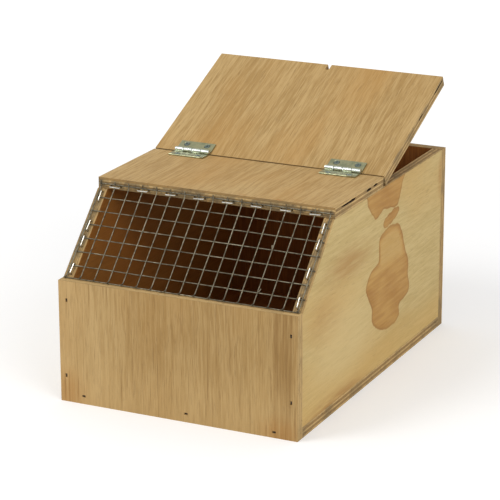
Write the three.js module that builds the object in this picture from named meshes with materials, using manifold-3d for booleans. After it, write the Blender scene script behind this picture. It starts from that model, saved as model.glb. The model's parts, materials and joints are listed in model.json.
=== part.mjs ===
// A plywood carrying box for small birds: a wire mesh front that slopes back to a short fixed
// top board, and a lid on two butt hinges over the rear half.
//
// Millimetres, +Z up. The origin is on the surface that the box stands on, under the middle of
// its footprint. The mesh front faces -Y, the lid lifts at +Y, and X runs from left to right.

import * as THREE from 'three';
import { mergeVertices } from 'three/addons/utils/BufferGeometryUtils.js';
import Module from 'manifold-3d';

const wasm = await Module();
wasm.setup();

// ---- Driving dimensions ----

// The box
const boxWidth = 210;
const boxDepth = 306;
const wallTop = 161;             // top edge of the side and back panels
const ply = 9;                   // thickness of every plywood panel
const frontHeight = 102.5;       // top edge of the front panel
const slopeDegrees = 45;         // of the mesh front, from level
const boardSetback = 1.5;        // front edge of the fixed board, behind the top of the slope
const boardDepth = 97;           // fixed board, front to back

// The lid
const lidGap = 0.9;              // between the fixed board and the lid
const lidOpenDegrees = 23.5;     // as it stands at rest
const notchWidth = 3.4;          // finger notch in the rear edge of the lid
const notchDepth = 7.5;

// The hinges
const hingeSpacing = 138;        // between the middles of the two hinges
const hingeLength = 32;
const leafWidth = 13;            // from the axis to the edge of a leaf
const leafThickness = 0.9;
const barrelRadius = 2;
const pinRadius = 0.95;
const pinClearance = 0.2;        // pin to the bore of the barrel
const knuckleCount = 4;
const knuckleClearance = 0.3;    // between knuckles, and from a knuckle to the other leaf
const leafSeatGap = 0.3;         // leaf to board

// The hinge screws
const screwSpacing = 19;
const screwFromAxis = 9;
const screwLength = 8;
const screwHeadRadius = 2.4;
const screwShankRadius = 1.2;
const screwPointLength = 2;
const screwClearance = 0.3;
const crossLength = 2.8;         // cross recess in the head
const crossWidth = 0.7;
const crossDepth = 0.7;

// The wire mesh
const meshPitch = 12.7;
const wireSize = 1.05;
const meshInset = 1.2;           // ends of the cross wires, in from the sides of the box
const topWireHeight = 2.4;       // highest cross wire, above the bend in front of the fixed board
const wireEndHeight = 5.2;       // wire ends bent up in front of the fixed board
const wireFootLength = 4.2;      // wire ends bent level over the front panel
const lowestCrossWireReach = 5;  // the lowest cross wire lies at most this far over the front panel
const meshSeatGap = 0.3;         // mesh to the wood
const weldDepth = 0.2;           // how far crossing wires sink into each other

// The staples over the mesh
const stapleSpan = 10;
const stapleLegLength = 8;
const stapleWire = 0.9;
const stapleGap = 0.3;           // crown to the wire under it
const stapleHoleClearance = 0.3;
const boardStapleCount = 8;      // one over every second wire along the fixed board
const boardStapleHeight = 2.6;   // above the underside of the fixed board
const sideStapleFromWire = 2.2;  // from the outermost slope wire to the middle of a staple
const sideStapleEndRoom = 1;     // legs of a side staple, from either end of the slope
// The staples down each side were set by hand: how far up the run of cross wires the held wire
// is, and how far up the slope from that wire the middle of the staple sits.
const leftStaples = [
  { upRun: 1 / 7, shift: -3.1 },
  { upRun: 3 / 7, shift: -3.1 },
  { upRun: 4 / 7, shift: -1.2 },
  { upRun: 6 / 7, shift: 1 },
];
const rightStaples = [
  { upRun: 1 / 7, shift: -3.1 },
  { upRun: 3 / 7, shift: -2.7 },
  { upRun: 5 / 7, shift: -2.9 },
  { upRun: 6 / 7, shift: -1.1 },
];

// The brads that hold the panels together
const bradLength = 25;
const bradShankWidth = 1.3;
const bradHeadWidth = 2.5;
const bradHeadDepth = 1.2;
const bradThickness = 1.2;
const bradSunk = 0.8;            // head below the face of the wood
const bradClearance = 0.3;
const lowBradHeight = 24;        // lower brads of the back panel, above the ground
const topBradInset = 16;         // upper brads of the back panel, below its top edge
const floorBradInset = 20;       // outer brads of the back panel into the floor, from its side
const underBradSpacing = 110;    // brads up through the floor into the side panels

// The front panel was nailed by hand. Into the side panels: which side, how far in from the
// middle of the side panel, and the height above the ground or below the top edge.
const frontSideBrads = [
  { side: -1, inwards: 2.6, belowTop: 16.2 },
  { side: -1, inwards: 0.8, aboveGround: 22.3 },
  { side: 1, inwards: 1.4, belowTop: 16.8 },
  { side: 1, inwards: 1.2, aboveGround: 31.3 },
];
// Into the floor: how far in from the left or right side, and above the middle of the floor.
const frontFloorBrads = [
  { side: -1, inset: 21, up: 2.2 },
  { side: 1, inset: 96.8, up: 2.6 },
  { side: 1, inset: 20.2, up: 0.2 },
];

const roundSegments = 16;
const overshoot = 1;             // how far a cutter runs past the face that it opens

// ---- Places worked out from them ----

const halfWidth = boxWidth / 2;
const frontFace = -boxDepth / 2;
const backFace = boxDepth / 2;
const frontInner = frontFace + ply;
const backInner = backFace - ply;
const slopeAngle = THREE.MathUtils.degToRad(slopeDegrees);
const slopeFoot = new THREE.Vector2(frontInner, frontHeight);
const slopeTopY = frontInner + (wallTop - frontHeight) / Math.tan(slopeAngle);
const boardFront = slopeTopY + boardSetback;
const boardBack = boardFront + boardDepth;
const boardTop = wallTop + ply;
const lidFront = boardBack + lidGap;
const axisToBoard = barrelRadius + leafSeatGap;
const hingeAxis = new THREE.Vector3(0, boardBack + lidGap / 2, boardTop + axisToBoard);
const lidOpenAngle = THREE.MathUtils.degToRad(lidOpenDegrees);
const hingeCentres = [-hingeSpacing / 2, hingeSpacing / 2];

// ---- Finishes ----

function finish(colour, roughness, metalness) {
  return new THREE.MeshStandardMaterial({ color: colour, roughness, metalness });
}

const facePly = finish(0xb4955c, 0.7, 0);
const sidePly = finish(0xc3a872, 0.7, 0);
const innerPly = finish(0x9c7a45, 0.75, 0);
const zinc = finish(0x9fb0ae, 0.35, 0.9);
const galvanised = finish(0x8d8d88, 0.5, 0.8);
const stapleSteel = finish(0xc9c9c6, 0.3, 0.9);
const bradSteel = finish(0x4a4039, 0.6, 0.7);

// ---- Making and cutting solids ----

function solidFrom(geometry) {
  const bare = geometry.clone();
  bare.deleteAttribute('normal');
  bare.deleteAttribute('uv');
  const merged = mergeVertices(bare, 1e-5);
  return new wasm.Manifold(new wasm.Mesh({
    numProp: 3,
    vertProperties: new Float32Array(merged.attributes.position.array),
    triVerts: new Uint32Array(merged.index.array),
  }));
}

function geometryFrom(solid) {
  const mesh = solid.getMesh();
  const geometry = new THREE.BufferGeometry();
  geometry.setAttribute('position', new THREE.BufferAttribute(new Float32Array(mesh.vertProperties), 3));
  geometry.setIndex(new THREE.BufferAttribute(new Uint32Array(mesh.triVerts), 1));
  geometry.computeVertexNormals();
  return geometry;
}

function joined(geometries) {
  return geometries.map(solidFrom).reduce((whole, piece) => whole.add(piece));
}

function cut(geometry, cutters) {
  const solid = cutters.length ? solidFrom(geometry).subtract(joined(cutters)) : solidFrom(geometry);
  return geometryFrom(solid);
}

function block(x, y, z) {
  const [[x0, x1], [y0, y1], [z0, z1]] = [x, y, z];
  const geometry = new THREE.BoxGeometry(x1 - x0, y1 - y0, z1 - z0);
  return geometry.translate((x0 + x1) / 2, (y0 + y1) / 2, (z0 + z1) / 2);
}

// A flat outline in the YZ plane, drawn out along X around x = 0.
function acrossX(outline, width) {
  const shape = new THREE.Shape(outline.map(([y, z]) => new THREE.Vector2(y, z)));
  const geometry = new THREE.ExtrudeGeometry(shape, { depth: width, bevelEnabled: false });
  geometry.translate(0, 0, -width / 2);
  geometry.applyMatrix4(new THREE.Matrix4().set(
    0, 0, 1, 0,
    1, 0, 0, 0,
    0, 1, 0, 0,
    0, 0, 0, 1,
  ));
  return geometry;
}

// ---- Places of the fasteners ----
// Each is a matrix that takes a fastener, modelled point down along -Z with the face of the
// wood at z = 0, to its place.

function placeOn(position, outward, along) {
  const z = outward.clone().normalize();
  const x = along.clone().normalize();
  const y = new THREE.Vector3().crossVectors(z, x);
  return new THREE.Matrix4().makeBasis(x, y, z).setPosition(position);
}

const toRight = new THREE.Vector3(1, 0, 0);
const toBack = new THREE.Vector3(0, 1, 0);
const toTop = new THREE.Vector3(0, 0, 1);
const toFront = toBack.clone().negate();
const toGround = toTop.clone().negate();

const sideMiddleX = halfWidth - ply / 2;

function frontBradPlaces() {
  const intoSides = frontSideBrads.map(({ side, inwards, belowTop, aboveGround }) => {
    const z = aboveGround ?? frontHeight - belowTop;
    return placeOn(new THREE.Vector3(side * (sideMiddleX - inwards), frontFace, z), toFront, toTop);
  });
  const intoFloor = frontFloorBrads.map(({ side, inset, up }) => {
    const x = side * (halfWidth - inset);
    return placeOn(new THREE.Vector3(x, frontFace, ply / 2 + up), toFront, toRight);
  });
  return [...intoSides, ...intoFloor];
}

function backBradPlaces() {
  const intoSides = [-1, 1].flatMap((side) => [lowBradHeight, wallTop - topBradInset].map((z) => (
    placeOn(new THREE.Vector3(side * sideMiddleX, backFace, z), toBack, toTop)
  )));
  const intoFloor = [-halfWidth + floorBradInset, 0, halfWidth - floorBradInset].map((x) => (
    placeOn(new THREE.Vector3(x, backFace, ply / 2), toBack, toRight)
  ));
  return [...intoSides, ...intoFloor];
}

function floorBradPlaces() {
  return [-1, 1].flatMap((side) => [-underBradSpacing, 0, underBradSpacing].map((y) => (
    placeOn(new THREE.Vector3(side * sideMiddleX, y, 0), toGround, toBack)
  )));
}

const frontBrads = frontBradPlaces();
const backBrads = backBradPlaces();
const floorBrads = floorBradPlaces();
const allBrads = [...frontBrads, ...backBrads, ...floorBrads];

// ---- Brads ----

// A brad seen from its broad side, grown all round by an allowance to give its hole.
function bradSolid(allowance, openAbove) {
  const shank = bradShankWidth / 2 + allowance;
  const head = bradHeadWidth / 2 + allowance;
  const top = openAbove ? overshoot : -bradSunk;
  const headFoot = -bradSunk - bradHeadDepth - allowance;
  const point = -bradSunk - bradLength - allowance;
  const outline = new THREE.Shape([
    new THREE.Vector2(-shank, point),
    new THREE.Vector2(shank, point),
    new THREE.Vector2(shank, headFoot),
    new THREE.Vector2(head, headFoot),
    new THREE.Vector2(head, top),
    new THREE.Vector2(-head, top),
    new THREE.Vector2(-head, headFoot),
    new THREE.Vector2(-shank, headFoot),
  ]);
  const thickness = bradThickness + 2 * allowance;
  const geometry = new THREE.ExtrudeGeometry(outline, { depth: thickness, bevelEnabled: false });
  return geometry.translate(0, 0, -thickness / 2).rotateX(Math.PI / 2);
}

function bradHoles(places) {
  return places.map((place) => bradSolid(bradClearance, true).applyMatrix4(place));
}

// ---- Layout of the wire mesh ----

const upSlope = new THREE.Vector3(0, Math.cos(slopeAngle), Math.sin(slopeAngle));
const offSlope = new THREE.Vector3(0, -Math.sin(slopeAngle), Math.cos(slopeAngle));

function slopePoint(x, distance) {
  return new THREE.Vector3(x, slopeFoot.x, slopeFoot.y).addScaledVector(upSlope, distance);
}

// From the wood to the top of each layer of wire. The cross wires lie under the slope wires.
const crossWireTop = meshSeatGap + wireSize;
const slopeWireTop = crossWireTop + wireSize - weldDepth;
const crossWireMiddle = crossWireTop - wireSize / 2;

// A line at one height off the wood, in the YZ plane: level over the top of the front panel, up
// the slope, and then upright in front of the fixed board. These are its two bends. The level
// part may have a height of its own.
function bends(height, footHeight = height) {
  const onSlope = slopePoint(0, 0).addScaledVector(offSlope, height);
  const rise = Math.tan(slopeAngle);
  const level = frontHeight + footHeight;
  const upright = boardFront - height;
  return {
    lower: new THREE.Vector3(0, onSlope.y + (level - onSlope.z) / rise, level),
    upper: new THREE.Vector3(0, upright, onSlope.z + (upright - onSlope.y) * rise),
  };
}

// The point of that line at a distance up the slope from its foot, and how steep it is there.
function alongRoute(height, distance) {
  const { lower, upper } = bends(height);
  const point = slopePoint(0, distance).addScaledVector(offSlope, height);
  const beforeSlope = point.clone().sub(lower).dot(upSlope);
  const pastSlope = point.clone().sub(upper).dot(upSlope);
  if (beforeSlope < 0) {
    return { point: lower.clone().add(new THREE.Vector3(0, beforeSlope, 0)), steepness: 0 };
  }
  if (pastSlope > 0) {
    return { point: upper.clone().add(new THREE.Vector3(0, 0, pastSlope)), steepness: 0 };
  }
  return { point, steepness: slopeAngle };
}

// The mesh is cut to the box: as many wires as fit, in the middle from side to side, and counted
// down from the highest cross wire.
const wiresEachSide = Math.floor((halfWidth - meshInset - wireSize / 2) / meshPitch);
const slopeWireCount = 2 * wiresEachSide + 1;
const outerWireX = wiresEachSide * meshPitch;
const slopeLength = bends(crossWireMiddle).upper.sub(slopePoint(0, 0)).dot(upSlope);
const highestCrossWire = slopeLength + topWireHeight;
const crossWireCount = 1 + Math.floor((highestCrossWire + lowestCrossWireReach) / meshPitch);

function slopeWireX(index) {
  return (index - wiresEachSide) * meshPitch;
}

// Up the slope from its foot. The lowest cross wire has index 0.
function crossWireDistance(index) {
  return highestCrossWire - (crossWireCount - 1 - index) * meshPitch;
}

// ---- Staples ----

// A staple whose crown lies over wires that stand this far off the wood.
function stapleSolid(wireTop) {
  const crownHeight = wireTop + stapleGap;
  const outer = stapleSpan / 2;
  const inner = outer - stapleWire;
  const outline = new THREE.Shape([
    new THREE.Vector2(-outer, -stapleLegLength),
    new THREE.Vector2(-inner, -stapleLegLength),
    new THREE.Vector2(-inner, crownHeight),
    new THREE.Vector2(inner, crownHeight),
    new THREE.Vector2(inner, -stapleLegLength),
    new THREE.Vector2(outer, -stapleLegLength),
    new THREE.Vector2(outer, crownHeight + stapleWire),
    new THREE.Vector2(-outer, crownHeight + stapleWire),
  ]);
  const geometry = new THREE.ExtrudeGeometry(outline, { depth: stapleWire, bevelEnabled: false });
  return geometry.translate(0, 0, -stapleWire / 2).rotateX(Math.PI / 2);
}

function stapleLegHoles(place) {
  const legCentre = (stapleSpan - stapleWire) / 2;
  const half = stapleWire / 2 + stapleHoleClearance;
  const bottom = -stapleLegLength - stapleHoleClearance;
  return [-legCentre, legCentre].map((x) => (
    block([x - half, x + half], [-half, half], [bottom, overshoot]).applyMatrix4(place)
  ));
}

// Spread over the slope wires, each over the middle of its share of them.
function boardStaplePlaces() {
  return Array.from({ length: boardStapleCount }, (_, index) => {
    const wire = Math.round((index + 0.5) * slopeWireCount / boardStapleCount - 0.5);
    const position = new THREE.Vector3(slopeWireX(wire), boardFront, wallTop + boardStapleHeight);
    return placeOn(position, toFront, toRight);
  });
}

// The cross wires that a side's staples hold, from the foot up, each on a wire of its own. The
// highest cross wire lies on the fixed board, so it is left out.
function heldWires(staples) {
  const wires = [];
  staples.forEach(({ upRun }, index) => {
    const nearest = Math.round(upRun * (crossWireCount - 1));
    const lowest = index > 0 ? wires[index - 1] + 1 : 0;
    const highest = crossWireCount - 1 - (staples.length - index);
    wires.push(Math.min(Math.max(nearest, lowest), highest));
  });
  return wires;
}

// Beside the outermost slope wire where that lies on the side panel, or along its middle.
function sideStapleX() {
  const besideWire = outerWireX - sideStapleFromWire;
  const fitsBesideWire = besideWire - stapleWire > halfWidth - ply;
  return fitsBesideWire ? besideWire : sideMiddleX;
}

function sideStaplePlaces(side) {
  const staples = side < 0 ? leftStaples : rightStaples;
  const wires = heldWires(staples);
  const woodLength = (wallTop - frontHeight) / Math.sin(slopeAngle);
  const fromEnd = stapleSpan / 2 + sideStapleEndRoom;
  return staples.map(({ shift }, index) => {
    const wanted = crossWireDistance(wires[index]) + shift;
    const distance = THREE.MathUtils.clamp(wanted, fromEnd, woodLength - fromEnd);
    return placeOn(slopePoint(side * sideStapleX(), distance), offSlope, upSlope);
  });
}

// ---- The wire mesh ----

// The foot of a slope wire lies on the lowest cross wire, or on the wood where none reaches it.
function slopeWire(x) {
  const crossWireAtFoot = alongRoute(crossWireMiddle, crossWireDistance(0)).steepness === 0;
  const footTop = crossWireAtFoot ? slopeWireTop : crossWireTop;
  const inside = bends(slopeWireTop - wireSize, footTop - wireSize);
  const outside = bends(slopeWireTop, footTop);
  const frontEnd = inside.lower.y - wireFootLength;
  const topEnd = inside.upper.z + wireEndHeight;
  const outline = [
    [frontEnd, inside.lower.z],
    [inside.lower.y, inside.lower.z],
    [inside.upper.y, inside.upper.z],
    [inside.upper.y, topEnd],
    [outside.upper.y, topEnd],
    [outside.upper.y, outside.upper.z],
    [outside.lower.y, outside.lower.z],
    [frontEnd, outside.lower.z],
  ];
  return acrossX(outline, wireSize).translate(x, 0, 0);
}

function crossWire(index) {
  const { point, steepness } = alongRoute(crossWireMiddle, crossWireDistance(index));
  const length = 2 * (halfWidth - meshInset);
  const geometry = new THREE.BoxGeometry(length, wireSize, wireSize);
  return geometry.rotateX(steepness).translate(0, point.y, point.z);
}

function wireMesh() {
  const wires = [];
  for (let index = 0; index < slopeWireCount; index += 1) {
    wires.push(slopeWire(slopeWireX(index)));
  }
  for (let index = 0; index < crossWireCount; index += 1) {
    wires.push(crossWire(index));
  }
  return geometryFrom(joined(wires));
}

// ---- Hinge screws ----

function turned(profile) {
  const points = profile.map(([radius, z]) => new THREE.Vector2(radius, z));
  return new THREE.LatheGeometry(points, roundSegments).rotateX(Math.PI / 2);
}

// The head is flush with the face of the leaf at z = 0.
function screwSolid() {
  const coneDepth = screwHeadRadius - screwShankRadius;
  const body = turned([
    [0, -screwLength],
    [screwShankRadius, -screwLength + screwPointLength],
    [screwShankRadius, -coneDepth],
    [screwHeadRadius, 0],
    [0, 0],
  ]);
  const long = crossLength / 2;
  const narrow = crossWidth / 2;
  return cut(body, [
    block([-long, long], [-narrow, narrow], [-crossDepth, overshoot]),
    block([-narrow, narrow], [-long, long], [-crossDepth, overshoot]),
  ]);
}

function countersink() {
  const top = screwHeadRadius + screwClearance;
  const bore = screwShankRadius + screwClearance;
  return turned([
    [0, -leafThickness - overshoot],
    [bore, -leafThickness - overshoot],
    [bore, -(top - bore)],
    [top, 0],
    [top, overshoot],
    [0, overshoot],
  ]);
}

function pilotHole() {
  const radius = screwShankRadius + screwClearance;
  const bottom = -screwLength - screwClearance;
  return turned([[0, bottom], [radius, bottom], [radius, overshoot], [0, overshoot]]);
}

// Places of the screws of one leaf, from the middle of the hinge axis. The side is -1 for the
// leaf on the fixed board and +1 for the leaf on the lid.
function leafScrewPlaces(side) {
  const leafTop = leafThickness - barrelRadius;
  return [-screwSpacing / 2, screwSpacing / 2].map((x) => (
    new THREE.Matrix4().makeTranslation(x, side * screwFromAxis, leafTop)
  ));
}

// ---- Hinges, modelled around their axis ----

function ring(outerRadius, length, middle) {
  const geometry = new THREE.CylinderGeometry(outerRadius, outerRadius, length, roundSegments);
  return geometry.rotateZ(Math.PI / 2).translate(middle, 0, 0);
}

const knuckleLength = hingeLength / knuckleCount;

function knuckleMiddle(index) {
  return -hingeLength / 2 + (index + 0.5) * knuckleLength;
}

// The leaf is a plate that runs into the underside of its own knuckles, and is cut back to
// clear the other leaf's. Even knuckles belong to the fixed leaf and odd ones to the lid's.
function hingeLeaf(side) {
  const parity = side < 0 ? 0 : 1;
  const knuckles = Array.from({ length: knuckleCount }, (_, index) => index);
  const own = knuckles.filter((index) => index % 2 === parity);
  const others = knuckles.filter((index) => index % 2 !== parity);
  const plateX = [-hingeLength / 2, hingeLength / 2];
  const plateY = side < 0 ? [-leafWidth, 0] : [0, leafWidth];
  const plate = block(plateX, plateY, [-barrelRadius, leafThickness - barrelRadius]);
  const leaf = joined([
    plate,
    ...own.map((index) => ring(barrelRadius, knuckleLength - knuckleClearance, knuckleMiddle(index))),
  ]);
  const reach = barrelRadius + knuckleClearance;
  const half = (knuckleLength + knuckleClearance) / 2;
  const clearances = others.map((index) => {
    const middle = knuckleMiddle(index);
    return block([middle - half, middle + half], [-reach, reach], [-reach, reach]);
  });
  const bore = ring(pinRadius + pinClearance, hingeLength + 2 * overshoot, 0);
  const sinks = leafScrewPlaces(side).map((place) => countersink().applyMatrix4(place));
  return geometryFrom(leaf.subtract(joined([...clearances, bore, ...sinks])));
}

function hingePin() {
  return ring(pinRadius, hingeLength - knuckleClearance, 0);
}

// ---- Panels ----

function pilotHolesUnder(side, offset) {
  return hingeCentres.flatMap((x) => leafScrewPlaces(side).map((place) => (
    pilotHole().applyMatrix4(place).translate(offset.x + x, offset.y, offset.z)
  )));
}

function floorPanel() {
  const blank = block([-halfWidth, halfWidth], [frontInner, backInner], [0, ply]);
  return cut(blank, bradHoles(allBrads));
}

function frontPanel() {
  const blank = block([-halfWidth, halfWidth], [frontFace, frontInner], [0, frontHeight]);
  return cut(blank, bradHoles(frontBrads));
}

function backPanel() {
  const blank = block([-halfWidth, halfWidth], [backInner, backFace], [0, wallTop]);
  return cut(blank, bradHoles(backBrads));
}

function sidePanel(side) {
  const outline = [
    [frontInner, ply],
    [backInner, ply],
    [backInner, wallTop],
    [slopeTopY, wallTop],
    [slopeFoot.x, slopeFoot.y],
  ];
  const blank = acrossX(outline, ply).translate(side * (halfWidth - ply / 2), 0, 0);
  return cut(blank, [
    ...bradHoles(allBrads),
    ...sideStaplePlaces(side).flatMap(stapleLegHoles),
  ]);
}

function topBoard() {
  const blank = block([-halfWidth, halfWidth], [boardFront, boardBack], [wallTop, boardTop]);
  return cut(blank, [
    ...boardStaplePlaces().flatMap(stapleLegHoles),
    ...pilotHolesUnder(-1, hingeAxis),
  ]);
}

// The lid is modelled closed, around the hinge axis, and ends flush with the back panel.
function lidPanel() {
  const front = lidFront - hingeAxis.y;
  const rear = backFace - hingeAxis.y;
  const topFace = -axisToBoard;
  const blank = block([-halfWidth, halfWidth], [front, rear], [topFace - ply, topFace]);
  const notchEnd = notchWidth / 2;
  const notch = new THREE.CylinderGeometry(notchEnd, notchEnd, ply + 2 * overshoot, roundSegments);
  notch.rotateX(Math.PI / 2).translate(0, rear - notchDepth + notchEnd, topFace - ply / 2);
  const slot = block(
    [-notchEnd, notchEnd],
    [rear - notchDepth + notchEnd, rear + overshoot],
    [topFace - ply - overshoot, topFace + overshoot],
  );
  return cut(blank, [notch, slot, ...pilotHolesUnder(1, new THREE.Vector3())]);
}

// ---- The assembly ----

const box = new THREE.Group();
box.name = 'bird_carrying_box';

function add(group, name, geometry, material) {
  const mesh = new THREE.Mesh(geometry, material);
  mesh.name = name;
  group.add(mesh);
  return mesh;
}

function addPlaced(group, name, geometry, material, place) {
  const mesh = add(group, name, geometry, material);
  mesh.applyMatrix4(place);
  return mesh;
}

add(box, 'floor_panel', floorPanel(), innerPly);
add(box, 'front_panel', frontPanel(), facePly);
add(box, 'back_panel', backPanel(), facePly);
add(box, 'left_side_panel', sidePanel(-1), sidePly);
add(box, 'right_side_panel', sidePanel(1), sidePly);
add(box, 'top_board', topBoard(), facePly);
add(box, 'wire_mesh', wireMesh(), galvanised);

function addAll(name, places, geometry, material) {
  places.forEach((place, index) => addPlaced(box, `${name}_${index + 1}`, geometry, material, place));
}

addAll('board_staple', boardStaplePlaces(), stapleSolid(slopeWireTop), stapleSteel);
addAll('left_staple', sideStaplePlaces(-1), stapleSolid(crossWireTop), stapleSteel);
addAll('right_staple', sideStaplePlaces(1), stapleSolid(crossWireTop), stapleSteel);
addAll('front_brad', frontBrads, bradSolid(0, false), bradSteel);
addAll('back_brad', backBrads, bradSolid(0, false), bradSteel);
addAll('floor_brad', floorBrads, bradSolid(0, false), bradSteel);

// What turns with the lid hangs in a group at the hinge axis, turned to the rest angle.
const fixedHinges = new THREE.Group();
const lidGroup = new THREE.Group();
fixedHinges.position.copy(hingeAxis);
lidGroup.position.copy(hingeAxis);
lidGroup.rotation.x = lidOpenAngle;
box.add(fixedHinges, lidGroup);

add(lidGroup, 'lid_panel', lidPanel(), facePly);

hingeCentres.forEach((x, hinge) => {
  const name = ['left', 'right'][hinge];
  const middle = new THREE.Matrix4().makeTranslation(x, 0, 0);
  addPlaced(fixedHinges, `${name}_hinge_board_leaf`, hingeLeaf(-1), zinc, middle);
  addPlaced(lidGroup, `${name}_hinge_lid_leaf`, hingeLeaf(1), zinc, middle);
  addPlaced(fixedHinges, `${name}_hinge_pin`, hingePin(), zinc, middle);
  leafScrewPlaces(-1).forEach((place, index) => {
    const at = middle.clone().multiply(place);
    addPlaced(fixedHinges, `${name}_board_screw_${index + 1}`, screwSolid(), zinc, at);
  });
  leafScrewPlaces(1).forEach((place, index) => {
    const at = middle.clone().multiply(place);
    addPlaced(lidGroup, `${name}_lid_screw_${index + 1}`, screwSolid(), zinc, at);
  });
});

export default box;
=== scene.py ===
# %% [markdown]
# # A plywood box for small birds
#
# The box has a short plywood front with welded wire mesh sloping back above it, a short fixed
# board on top, and a lid that turns on two zinc-plated butt hinges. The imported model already
# holds every panel, wire and screw at its real size and place. This lesson dresses it: each
# piece gets the small shapes that a plain solid lacks, and a finish made of shader nodes.
#
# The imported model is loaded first, and nothing in it is moved. Everything below takes its place
# from it.

import json
import math
import random
from collections import namedtuple

import bmesh
import bpy
from mathutils import Matrix, Vector

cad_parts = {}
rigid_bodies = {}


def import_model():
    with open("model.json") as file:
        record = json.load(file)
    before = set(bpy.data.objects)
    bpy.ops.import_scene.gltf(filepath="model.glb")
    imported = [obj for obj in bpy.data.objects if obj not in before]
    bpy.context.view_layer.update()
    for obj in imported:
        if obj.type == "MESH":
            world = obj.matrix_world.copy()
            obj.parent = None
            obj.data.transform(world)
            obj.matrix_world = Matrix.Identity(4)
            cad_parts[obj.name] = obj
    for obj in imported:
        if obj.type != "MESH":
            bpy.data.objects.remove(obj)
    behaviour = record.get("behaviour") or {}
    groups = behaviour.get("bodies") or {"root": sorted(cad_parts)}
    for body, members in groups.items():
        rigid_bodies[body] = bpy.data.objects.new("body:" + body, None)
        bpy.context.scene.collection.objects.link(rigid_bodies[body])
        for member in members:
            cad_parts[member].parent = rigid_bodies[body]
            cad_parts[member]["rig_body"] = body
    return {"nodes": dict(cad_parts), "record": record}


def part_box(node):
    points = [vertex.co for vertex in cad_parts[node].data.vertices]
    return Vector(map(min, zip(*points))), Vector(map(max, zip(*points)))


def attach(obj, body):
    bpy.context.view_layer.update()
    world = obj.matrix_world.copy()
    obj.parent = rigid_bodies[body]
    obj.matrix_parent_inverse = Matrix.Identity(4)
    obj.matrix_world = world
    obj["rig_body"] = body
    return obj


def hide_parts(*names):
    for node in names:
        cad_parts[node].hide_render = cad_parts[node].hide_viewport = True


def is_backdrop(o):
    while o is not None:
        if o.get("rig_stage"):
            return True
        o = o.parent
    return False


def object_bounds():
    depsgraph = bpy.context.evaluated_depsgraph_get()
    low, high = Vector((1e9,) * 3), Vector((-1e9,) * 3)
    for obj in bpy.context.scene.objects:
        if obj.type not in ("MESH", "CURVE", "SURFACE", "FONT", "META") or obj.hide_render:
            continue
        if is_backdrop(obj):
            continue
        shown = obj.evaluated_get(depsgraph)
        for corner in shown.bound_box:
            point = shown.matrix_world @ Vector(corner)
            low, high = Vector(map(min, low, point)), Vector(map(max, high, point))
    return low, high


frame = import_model()
cad_low, cad_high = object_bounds()
scene = bpy.context.scene
mm = 0.001
print("model size in mm:", [round(side / mm, 1) for side in cad_high - cad_low])

# %% [markdown]
# ## Camera
#
# A long lens far away keeps the edges of the box nearly parallel. The camera is placed by the
# way it looks: an azimuth round the box, an elevation above the table, and a distance from the
# point it looks at.

# %% Place the camera
look_at = Vector((-0.00543, -0.00753, 0.09905))
azimuth = math.radians(25.72)
elevation = math.radians(17.60)
roll = math.radians(-0.15)
distance = 1.95424
sensor = 36.0
lens = 169.14

back = Vector((math.sin(azimuth) * math.cos(elevation),
               -math.cos(azimuth) * math.cos(elevation),
               math.sin(elevation)))
camera = bpy.data.objects.new("camera", bpy.data.cameras.new("camera"))
scene.collection.objects.link(camera)
camera.data.sensor_width = sensor
camera.data.lens = lens
camera.location = look_at + back * distance
camera.rotation_mode = "QUATERNION"
tilt = Matrix.Rotation(roll, 3, "Z").to_quaternion()
camera.rotation_quaternion = (-back).to_track_quat("-Z", "Y") @ tilt
scene.camera = camera
print("camera at", [round(value, 3) for value in camera.location])

# %% [markdown]
# ## Shader maths
#
# A finish is a graph of nodes, but it reads best as arithmetic. `Value` wraps one number socket,
# so that `1 - mask` or `a * b + c` adds the Math nodes by itself. Colours and vectors don't fit
# through a Math node, so they have methods of their own. `Finish` owns one material, and its
# `node` method adds any other node: its type, its settings first, then its sockets.

# %% A socket that understands arithmetic
class Value:
    """One output socket of a finish, as a number, a vector or a colour."""

    def __init__(self, finish, socket):
        self.finish = finish
        self.socket = socket

    def _math(self, operation, *terms):
        return self.finish.node("ShaderNodeMath", {"operation": operation}, dict(enumerate(terms)))[0]

    def __add__(self, other):
        return self._math("ADD", self, other)

    def __sub__(self, other):
        return self._math("SUBTRACT", self, other)

    def __rsub__(self, other):
        return self._math("SUBTRACT", other, self)

    def __mul__(self, other):
        return self._math("MULTIPLY", self, other)

    def __truediv__(self, other):
        return self._math("DIVIDE", self, other)

    __radd__ = __add__
    __rmul__ = __mul__

    def power(self, exponent):
        return self._math("POWER", self, exponent)

    def size(self):
        return self._math("ABSOLUTE", self)

    def at_least(self, other):
        return self._math("MAXIMUM", self, other)

    def at_most(self, other):
        return self._math("MINIMUM", self, other)

    def between(self, low, high):
        """0 below low, 1 above high, and a smooth step from one to the other."""
        settings = {"interpolation_type": "SMOOTHSTEP"}
        return self.finish.node("ShaderNodeMapRange", settings, {0: self, 1: low, 2: high})[0]

    def along(self, direction):
        """How far this vector reaches along a fixed direction."""
        settings = {"operation": "DOT_PRODUCT"}
        return self.finish.node("ShaderNodeVectorMath", settings, {0: self, 1: direction})["Value"]


class Outputs:
    """The outputs of one node, by name or number."""

    def __init__(self, finish, node):
        self.finish = finish
        self.node = node

    def __getitem__(self, name):
        return Value(self.finish, self.node.outputs[name])


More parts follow.
